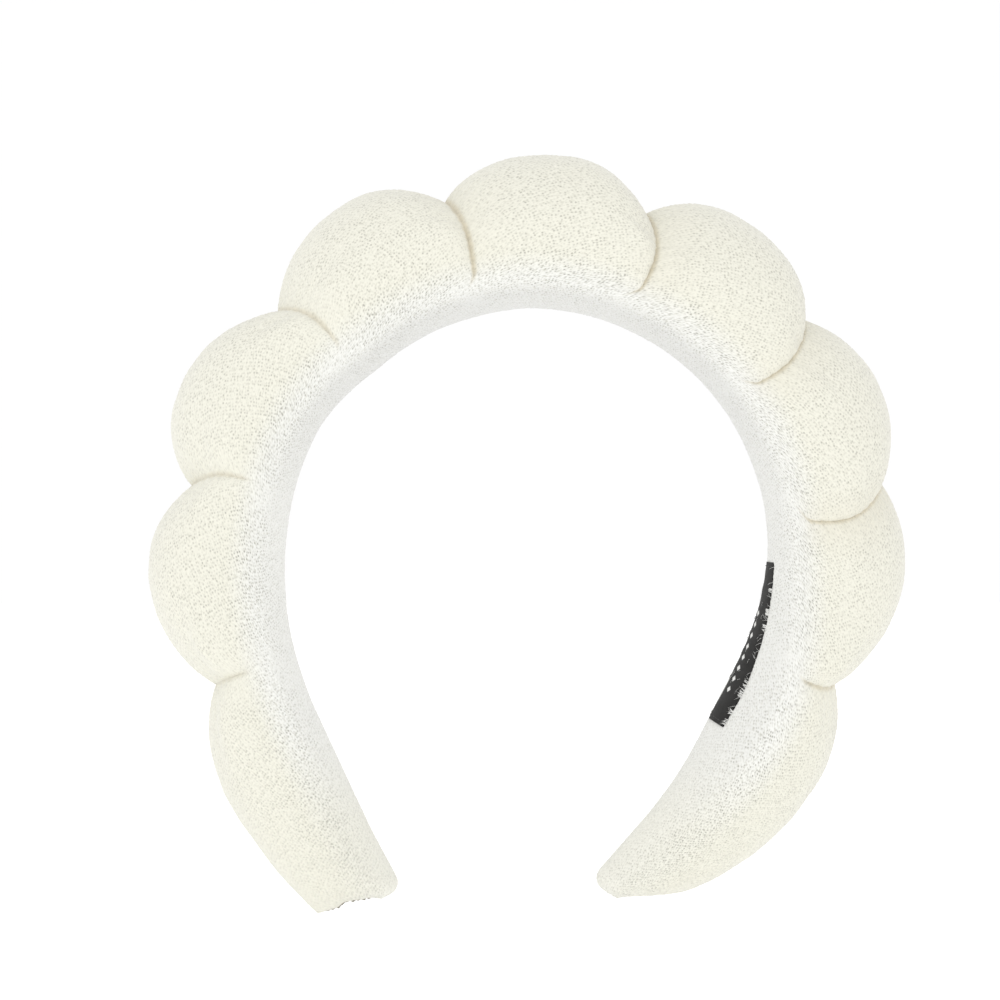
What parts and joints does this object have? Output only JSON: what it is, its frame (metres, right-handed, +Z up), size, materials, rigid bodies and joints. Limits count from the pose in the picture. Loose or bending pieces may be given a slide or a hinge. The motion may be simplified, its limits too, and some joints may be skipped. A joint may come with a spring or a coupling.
{
  "type": "spa headband",
  "caption": "Padded hair band for washing the face: gathered terry bubbles over a springy hoop that grips the head.",
  "frame": {"origin": "where the lining's crown touches the top of the head, in the middle of the band's width", "axes": "+Z up through the crown as worn, +X to the right seen from the front, +Y backwards through the band's width"},
  "size_m": [0.1893, 0.0411, 0.1918],
  "materials": {
    "terry_cover": "cream terry loops",
    "terry_lining": "pale terry loops",
    "sponge": "open-cell sponge",
    "hoop_plastic": "satin",
    "cream_thread": "twisted thread",
    "label_ribbon": "woven satin ribbon",
    "label_thread": "twisted thread"
  },
  "bodies": {
    "bubble_1": {"cover_lobe_1": "terry_cover", "foam_pad_1": "sponge", "hoop_segment_1": "hoop_plastic", "lining_1": "terry_lining", "end_stitch_left": "cream_thread"},
    "bubble_2": {"cover_lobe_2": "terry_cover", "foam_pad_2": "sponge", "hoop_segment_2": "hoop_plastic", "lining_2": "terry_lining", "gather_tie_1": "cream_thread"},
    "bubble_3": {"cover_lobe_3": "terry_cover", "foam_pad_3": "sponge", "hoop_segment_3": "hoop_plastic", "lining_3": "terry_lining", "gather_tie_2": "cream_thread"},
    "bubble_4": {"cover_lobe_4": "terry_cover", "foam_pad_4": "sponge", "hoop_segment_4": "hoop_plastic", "lining_4": "terry_lining", "gather_tie_3": "cream_thread"},
    "bubble_5": {"cover_lobe_5": "terry_cover", "foam_pad_5": "sponge", "hoop_segment_5": "hoop_plastic", "lining_5": "terry_lining", "gather_tie_4": "cream_thread", "gather_tie_5": "cream_thread"},
    "bubble_6": {"cover_lobe_6": "terry_cover", "foam_pad_6": "sponge", "hoop_segment_6": "hoop_plastic", "lining_6": "terry_lining", "gather_tie_6": "cream_thread"},
    "bubble_7": {"cover_lobe_7": "terry_cover", "foam_pad_7": "sponge", "hoop_segment_7": "hoop_plastic", "lining_7": "terry_lining", "gather_tie_7": "cream_thread"},
    "bubble_8": {"cover_lobe_8": "terry_cover", "foam_pad_8": "sponge", "hoop_segment_8": "hoop_plastic", "lining_8": "terry_lining", "gather_tie_8": "cream_thread", "label": "label_ribbon", "label_stitch_top": "label_thread", "label_stitch_bottom": "label_thread"},
    "bubble_9": {"cover_lobe_9": "terry_cover", "foam_pad_9": "sponge", "hoop_segment_9": "hoop_plastic", "lining_9": "terry_lining", "end_stitch_right": "cream_thread"}
  },
  "joints": [
    {"name": "left_bend_1", "type": "hinge", "parent": "bubble_5", "child": "bubble_4", "pos_m": [-0.01506, 0, 0.00338], "axis": [0, 1, 0], "range_deg": [-1.5, 6.6], "stiffness_Nm_per_rad": 3},
    {"name": "left_bend_2", "type": "hinge", "parent": "bubble_4", "child": "bubble_3", "pos_m": [-0.04749, 0, -0.0154], "axis": [0, 1, 0], "range_deg": [-1.3, 5.74], "stiffness_Nm_per_rad": 3},
    {"name": "left_bend_3", "type": "hinge", "parent": "bubble_3", "child": "bubble_2", "pos_m": [-0.06423, 0, -0.04881], "axis": [0, 1, 0], "range_deg": [-0.96, 4.22], "stiffness_Nm_per_rad": 3},
    {"name": "left_bend_4", "type": "hinge", "parent": "bubble_2", "child": "bubble_1", "pos_m": [-0.06258, 0, -0.0893], "axis": [0, 1, 0], "range_deg": [-0.54, 2.38], "stiffness_Nm_per_rad": 3},
    {"name": "right_bend_1", "type": "hinge", "parent": "bubble_5", "child": "bubble_6", "pos_m": [0.02132, 0, 0.00156], "axis": [0, -1, 0], "range_deg": [-1.5, 6.6], "stiffness_Nm_per_rad": 3},
    {"name": "right_bend_2", "type": "hinge", "parent": "bubble_6", "child": "bubble_7", "pos_m": [0.05001, 0, -0.01824], "axis": [0, -1, 0], "range_deg": [-1.3, 5.74], "stiffness_Nm_per_rad": 3},
    {"name": "right_bend_3", "type": "hinge", "parent": "bubble_7", "child": "bubble_8", "pos_m": [0.06391, 0, -0.04732], "axis": [0, -1, 0], "range_deg": [-0.96, 4.22], "stiffness_Nm_per_rad": 3},
    {"name": "right_bend_4", "type": "hinge", "parent": "bubble_8", "child": "bubble_9", "pos_m": [0.06012, 0, -0.0862], "axis": [0, -1, 0], "range_deg": [-0.54, 2.38], "stiffness_Nm_per_rad": 3}
  ],
  "couplings": [
    {"joint": "left_bend_2", "follows": "left_bend_1", "ratio": 0.87},
    {"joint": "left_bend_3", "follows": "left_bend_1", "ratio": 0.64},
    {"joint": "left_bend_4", "follows": "left_bend_1", "ratio": 0.36},
    {"joint": "right_bend_2", "follows": "right_bend_1", "ratio": 0.87},
    {"joint": "right_bend_3", "follows": "right_bend_1", "ratio": 0.64},
    {"joint": "right_bend_4", "follows": "right_bend_1", "ratio": 0.36}
  ]
}
